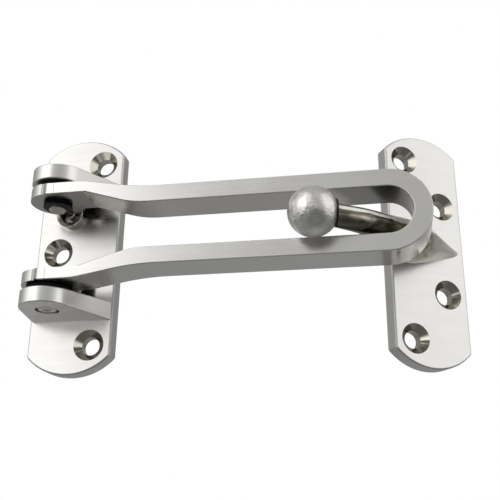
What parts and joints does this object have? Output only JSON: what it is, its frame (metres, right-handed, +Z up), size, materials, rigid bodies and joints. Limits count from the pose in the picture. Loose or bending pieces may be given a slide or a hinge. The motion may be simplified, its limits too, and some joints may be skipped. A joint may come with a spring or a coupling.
{
  "type": "swing bar door guard",
  "caption": "Satin metal door guard: a looped swing bar hinged between the ears of one plate slides over a ball on a curved arm fixed to a second plate.",
  "frame": {"origin": "centre of the hinge plate's back face", "axes": "+X along the swing bar towards the ball plate, +Y into the door frame behind the plates (the room side is -Y), +Z up"},
  "size_m": [0.1107, 0.0531, 0.0676],
  "materials": {
    "satin_nickel": "satin",
    "satin_nickel_plate": "satin",
    "satin_nickel_ball": "satin",
    "polished_arm": "gloss",
    "pin_steel": "satin",
    "black_clip": "satin",
    "black_nylon": "matte",
    "polished_sleeve": "gloss",
    "plunger_steel": "satin",
    "spring_steel": "satin"
  },
  "bodies": {
    "hinge_side": {"hinge_plate": "satin_nickel", "upper_hinge_pin": "pin_steel", "lower_hinge_pin": "pin_steel", "upper_retaining_clip": "black_clip", "lower_retaining_clip": "black_clip", "upper_washer": "black_nylon", "lower_washer": "black_nylon", "upper_plunger_sleeve": "polished_sleeve", "lower_plunger_sleeve": "polished_sleeve", "upper_plunger": "plunger_steel", "lower_plunger": "plunger_steel", "upper_plunger_spring": "spring_steel", "lower_plunger_spring": "spring_steel", "upper_buffer": "black_nylon", "lower_buffer": "black_nylon"},
    "bar": {"swing_bar": "satin_nickel"},
    "ball_side": {"ball_plate": "satin_nickel_plate", "ball_arm": "polished_arm", "ball_collar": "polished_arm", "ball": "satin_nickel_ball"}
  },
  "joints": [
    {"name": "bar_swing", "type": "hinge", "parent": "hinge_side", "child": "bar", "pos_m": [-0.0023, -0.0132, 0], "axis": [0, 0, -1], "range_deg": [-12, 180]},
    {"name": "ball_travel", "type": "slide", "parent": "bar", "child": "ball_side", "axis": [1, 0, 0], "range_m": [-0.05, 0.0003]}
  ]
}
